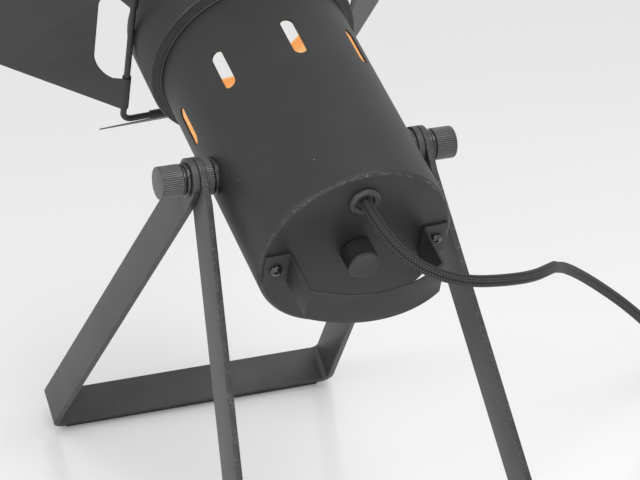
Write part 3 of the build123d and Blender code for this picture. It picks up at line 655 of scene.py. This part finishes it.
spacer_coat = charcoal("spacer_coat", 0.9, 0.30, 0.6)
# The knurled bands get a coat six times lighter and glossier: a painted highlight for the glints on their ribs.
ribs_painted_highlight = charcoal("knurl_coat_painted_highlight", 6.0, 0.28, 0.6)
knob_coat = charcoal("knob_coat", 3.4, 0.36, 0.6)
for name, side in (("left", 1), ("right", -1)):
    axis = Vector((side, 0, 0))
    spacer = spun(name + "_knurled_spacer", pivot, axis, spacer_profile, ribs * rib_steps, "joined")
    settled(spacer, 30)
    knurled(spacer, pivot, axis, knurl_start - 0.05, knurl_end - 0.1, 0.7, knurl_radius, ribs)
    cut_away(spacer, rod(head_middle, along_head, saddle_radius, 60, 192))
    settled(spacer, 25)
    spacer_coat.on(spacer)
    spacer.data.materials.append(ribs_painted_highlight.material)
    for face in spacer.data.polygons:
        face.material_index = 1 if knurl_start * MM < abs(face.center.x) < knurl_end * MM else 0
    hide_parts(name + "_pivot_spacer")
    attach(spacer, "head")

    friction_washer = skin(name + "_friction_washer", 0.0)
    moulding.on(friction_washer)
    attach(friction_washer, "head")

    washer = settled(spun(name + "_glossy_washer", pivot, axis, washer_profile, 72, "joined"))
    lacquer.on(washer)
    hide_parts(name + "_pivot_washer")
    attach(washer, "head")

    knob = settled(spun(name + "_thumb_knob_cap", pivot, axis, knob_profile, ribs * rib_steps), 30)
    knurled(knob, pivot, axis, knob_knurl_start, knob_knurl_end, 0.6, knob_radius, ribs)
    bpy.ops.object.shade_smooth_by_angle(angle=radians(25))
    knob_coat.on(knob)
    knob.data.materials.append(lacquer.material)
    knob.data.materials.append(ribs_painted_highlight.material)
    # the glossy neck takes the lacquer, the ribbed band the painted highlight
    for face in knob.data.polygons:
        place = abs(face.center.x) / MM
        ribbed = knob_knurl_start < place < knob_knurl_end
        face.material_index = 1 if place < knob_neck_end else 2 if ribbed else 0
    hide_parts(name + "_thumb_knob")
    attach(knob, name + "_thumb_knob")


# ---- strip frames and their feet ---------------------------------------------------------------------------
# Two steel strips, each bent to a leg, a crossbar and a leg.  The coat lies thin and
# speckled on their narrow sheared edges.  A rubber wedge stops each from sliding.
leg_lean = radians(36.0)
# Their coat is the charcoal lifted three times lighter: painted light for the light the strips catch from
# above.
strip_coat_painted_lighter = charcoal("strip_powder_coat_painted_lighter", 3.0, 0.45)
sheared_edge = speckled("sheared_strip_edges", 0.022, 0.13)
rubber = Finish("anti_slip_rubber", Roughness=0.85)
rubber.shade(Base_Color=rubber.mix(rubber.noise(0.002, 3), (0.018, 0.018, 0.018), (0.034, 0.034, 0.034)))
rubber.bump((rubber.noise(0.0008), 0.00008))
for node, fore in (("front_frame", -1), ("rear_frame", 1)):
    strip = skin(node, 0.45, segments=3)
    strip_coat_painted_lighter.on(strip)
    strip.data.materials.append(sheared_edge.material)
    edgewise = Vector((0, cos(leg_lean), fore * sin(leg_lean)))
    for face in strip.data.polygons:
        face.material_index = 1 if abs(face.normal.dot(edgewise)) > 0.9 else 0
    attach(strip, node)
    wedge = skin(node + "_pad", 0.3)
    rubber.on(wedge)
    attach(wedge, node)


# ---- cord, coil and plug -----------------------------------------------------------------------------------
# A black textile-braided lead, 7 mm thick, that leaves the bushing straight, sags past
# the side, and is wound into a coil of put-away length with a flat two-pin plug.
cord_width, cord_straight = 7.0, 38
cord_exit = turned_point(0, -bush_offset, 78.8)
behind_middle = Vector((0, pivot_back, 0))
route = [cord_exit, cord_exit + rearward * cord_straight * MM]
route += [(Vector(point) + behind_middle) * MM for point in (
    (-24, 149, 240), (-78, 140, 229), (-118, 100, 212), (-138, 62, 190), (-172, 16, 163), (-214, -22, 128),
    (-262, -52, 86), (-306, -80, 42), (-345, -106, 12), (-382, -124, 3.6))]

# It runs into the coil's outer turn, winds inwards, climbs, and winds outwards on top.
coil_radius, coil_band, coil_base = 41.0, 21.0, 1.1
table_gap = 0.1
pitch = cord_width + 0.05                     # from turn to turn, and from layer to layer
spline_swell = 1.012                          # the spline runs inside its points by this much
turns, turn_points, lower_turns, climb_turns = 4.4, 14, 2.0, 0.3
coil_outside = coil_radius + coil_band / 2
outer_turn = coil_outside - cord_width / 2
entry = sqrt(coil_outside ** 2 - (outer_turn - cord_width / 2) ** 2) + table_gap
arriving = Vector((-37, -18, 0)).normalized()
inwards = Vector((arriving.y, -arriving.x, 0))
coil_middle = Vector((-382, -124, 0)) + behind_middle + arriving * entry + inwards * outer_turn
start_angle = radians(-64.0)
steps = round(turns * turn_points)
for step in range(steps + 1):
    turn = step / turn_points
    climb = min(max(turn - lower_turns, 0.0) / climb_turns, 1.0)
    wound_out = max(turn - lower_turns - climb_turns, 0.0) - min(turn, lower_turns)
    radius = (outer_turn + pitch * wound_out) * spline_swell
    angle = start_angle - 2 * pi * turn
    height = coil_base + cord_width / 2 + pitch * climb
    route.append((coil_middle + Vector((radius * cos(angle), radius * sin(angle), height))) * MM)

tail_length, plug_middle = 24, 7.1            # from the coil to the plug, and the plug's height
leaving_angle = start_angle - 2 * pi * steps / turn_points
leaving_point = Vector((cos(leaving_angle), sin(leaving_angle), 0))
leaving = Vector((leaving_point.y, -leaving_point.x, 0))
plug_seat = coil_middle + leaving_point * outer_turn + leaving * (entry + tail_length)
plug_seat.z = plug_middle
route += [(plug_seat - leaving * 18) * MM, (plug_seat + leaving * 2) * MM]

curve = bpy.data.curves.new("cord_route", "CURVE")
curve.dimensions = "3D"
line = curve.splines.new("NURBS")
line.points.add(len(route) - 1)
for point, place in zip(line.points, route):
    point.co = (*place, 1)
line.order_u = 3
line.use_endpoint_u = True
line.resolution_u = 12
follower = bpy.data.objects.new("cord_route", curve)
thread = [vertex.co.copy() for vertex in bpy.data.meshes.new_from_object(follower).vertices]
curve.bevel_depth = cord_width / 2 * MM
curve.bevel_resolution = 5
tube = bpy.data.meshes.new_from_object(follower)
bpy.data.objects.remove(follower)
cord = bpy.data.objects.new("braided_cord", tube)
bpy.context.scene.collection.objects.link(cord)

# the braid's own map: metres along the cord, and turns round it
around = len(tube.vertices) // len(thread)
along = [0.0]
for before, after in zip(thread, thread[1:]):
    along.append(along[-1] + (after - before).length)
while tube.uv_layers:
    tube.uv_layers.remove(tube.uv_layers[0])
chart = tube.uv_layers.new(name="braid")
for face in tube.polygons:
    places = [tube.loops[loop].vertex_index % around for loop in face.loop_indices]
    wraps = max(places) - min(places) > around / 2
    for loop, place in zip(face.loop_indices, places):
        ring = min(tube.loops[loop].vertex_index // around, len(along) - 1)
        chart.data[loop].uv = (along[ring], (place + around * (wraps and place < around / 2)) / around)
tube.shade_smooth()

# six strands round the cord, each with two rows of pale flecks along it
beat_length, strands = 0.0017, 6.0
braid = Finish("black_textile_braid", Sheen_Weight=0.04, Sheen_Roughness=0.4)
weave = braid.node("SeparateXYZ", None, {"Vector": braid.node("TexCoord").out("UV")})
lengthwise, crosswise = weave.out("X") / beat_length, weave.out("Y") * strands
strand = braid.node("Math", {"operation": "FRACT"}, {0: crosswise})
first = 1 - abs(strand - 0.30).ramp(0.07, 0.17)
second = 1 - abs(strand - 0.66).ramp(0.07, 0.17)
beat = braid.node("Math", {"operation": "SINE"}, {0: lengthwise * (2 * pi)})
flecks = first * (beat + 0.35).ramp(-0.3, 0.8) + second * (0.35 - beat).ramp(-0.3, 0.8)
worn = braid.noise(0.0011)
braid.shade(Base_Color=braid.mix(flecks * (worn + 0.45), (0.0065, 0.0065, 0.0062), (0.068, 0.066, 0.062)),
            Roughness=0.8)
braid.bump((flecks, 0.0003), (worn, 0.00015))
braid.on(cord)
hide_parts("cord", "cord_coil", "cord_tail")
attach(cord, "head")

for node, finish, slot in (("cord_tie", moulding, "black_plastic"), ("plug_body", moulding, "black_plastic"),
                           ("plug_pins", brass, "plug_pin_brass")):
    piece = skin(node, 0.4)
    finish.on(piece)
    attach(piece, "head")
